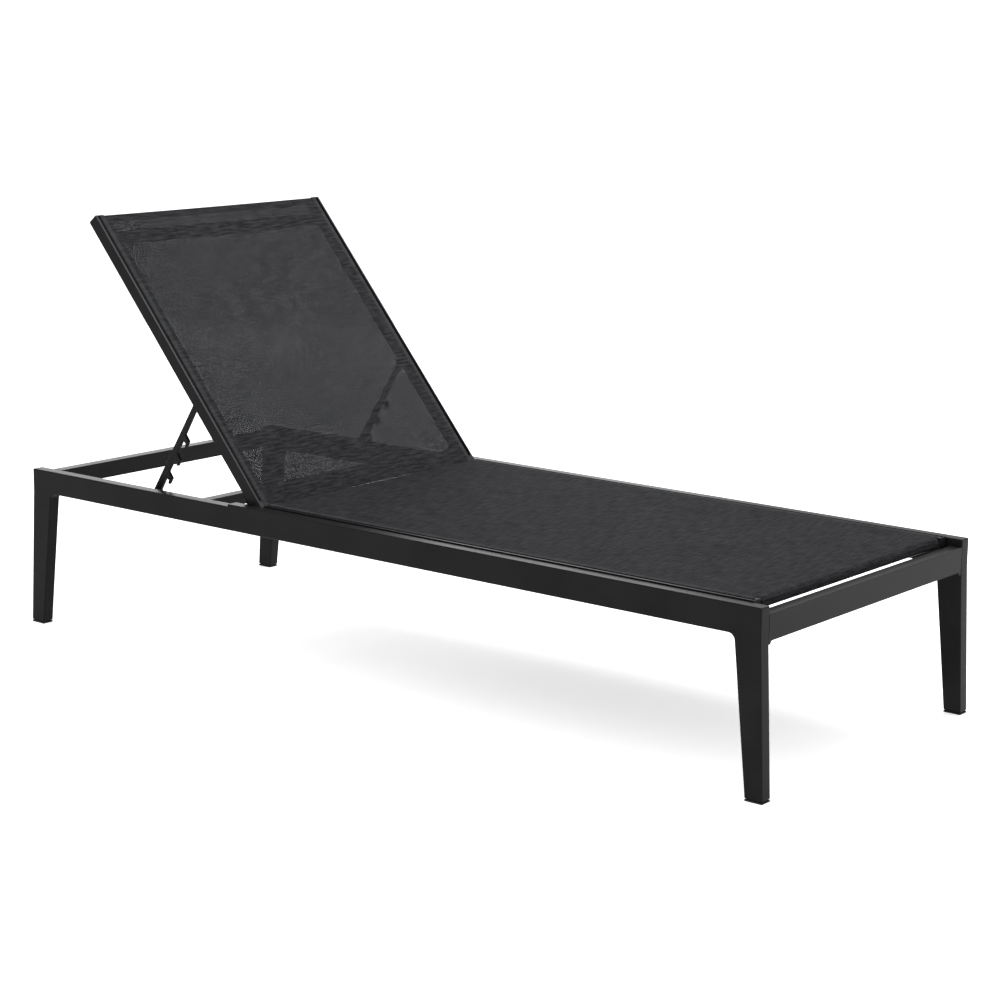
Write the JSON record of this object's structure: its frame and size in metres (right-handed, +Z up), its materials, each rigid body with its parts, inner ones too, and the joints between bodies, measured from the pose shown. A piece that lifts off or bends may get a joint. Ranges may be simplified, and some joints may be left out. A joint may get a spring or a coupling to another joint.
{
  "type": "reclining sun lounger",
  "caption": "Low aluminium sun lounger with a fixed mesh seat sling and a hinged mesh backrest held up by two notched prop arms.",
  "frame": {"origin": "on the ground, under the middle of the bounding box with the backrest raised", "axes": "+X from the head end to the foot end, +Y to the left of a person lying on it, +Z up"},
  "size_m": [1.93, 0.75, 0.9173],
  "materials": {
    "black_powder_coat": "satin black powder coat on aluminium",
    "sling_fabric": "charcoal woven textilene mesh",
    "black_plastic": "matte moulded plastic",
    "blackened_steel": "blackened stainless steel"
  },
  "bodies": {
    "base": {"base_crossbar": "black_powder_coat", "catch_pin_left": "blackened_steel", "catch_pin_right": "blackened_steel", "foot_rail": "black_powder_coat", "glide_foot_left": "black_plastic", "glide_foot_right": "black_plastic", "glide_head_left": "black_plastic", "glide_head_right": "black_plastic", "head_rail": "black_powder_coat", "hinge_bolt_left": "blackened_steel", "hinge_bolt_right": "blackened_steel", "hinge_insert_left": "blackened_steel", "hinge_insert_right": "blackened_steel", "hinge_washer_left": "black_plastic", "hinge_washer_right": "black_plastic", "leg_foot_left": "black_powder_coat", "leg_foot_right": "black_powder_coat", "leg_head_left": "black_powder_coat", "leg_head_right": "black_powder_coat", "seat_bolts": "blackened_steel", "seat_cap_front_left": "black_plastic", "seat_cap_front_right": "black_plastic", "seat_cap_rear_left": "black_plastic", "seat_cap_rear_right": "black_plastic", "seat_crossbar_front": "black_powder_coat", "seat_crossbar_mid": "black_powder_coat", "seat_crossbar_rear": "black_powder_coat", "seat_fabric": "sling_fabric", "seat_rail_left": "black_powder_coat", "seat_rail_right": "black_powder_coat", "seat_spacers": "blackened_steel", "seat_spline_left": "black_plastic", "seat_spline_right": "black_plastic", "side_rail_left": "black_powder_coat", "side_rail_right": "black_powder_coat"},
    "back": {"back_bush_left": "black_plastic", "back_bush_right": "black_plastic", "back_cap_left": "black_plastic", "back_cap_right": "black_plastic", "back_crossbar_low": "black_powder_coat", "back_crossbar_top": "black_powder_coat", "back_fabric": "sling_fabric", "back_knuckle_left": "black_plastic", "back_knuckle_right": "black_plastic", "back_rail_left": "black_powder_coat", "back_rail_right": "black_powder_coat", "back_spline_left": "black_plastic", "back_spline_right": "black_plastic", "prop_bolt_left": "blackened_steel", "prop_bolt_right": "blackened_steel", "prop_washer_left": "black_plastic", "prop_washer_right": "black_plastic"},
    "prop_left": {"prop_arm_left": "black_powder_coat"},
    "prop_right": {"prop_arm_right": "black_powder_coat"}
  },
  "joints": [
    {"name": "recline", "type": "hinge", "parent": "base", "child": "back", "pos_m": [-0.29, 0, 0.345], "axis": [0, 1, 0], "range_deg": [-47.8, 0]},
    {"name": "prop_swing_left", "type": "hinge", "parent": "back", "child": "prop_left", "pos_m": [-0.47981, 0.31775, 0.56031], "axis": [0, 1, 0], "range_deg": [0, 100]},
    {"name": "prop_swing_right", "type": "hinge", "parent": "back", "child": "prop_right", "pos_m": [-0.47981, -0.31775, 0.56031], "axis": [0, 1, 0], "range_deg": [0, 100]}
  ],
  "couplings": [
    {"joint": "prop_swing_left", "follows": "recline", "ratio": -2.067},
    {"joint": "prop_swing_right", "follows": "recline", "ratio": -2.067}
  ]
}
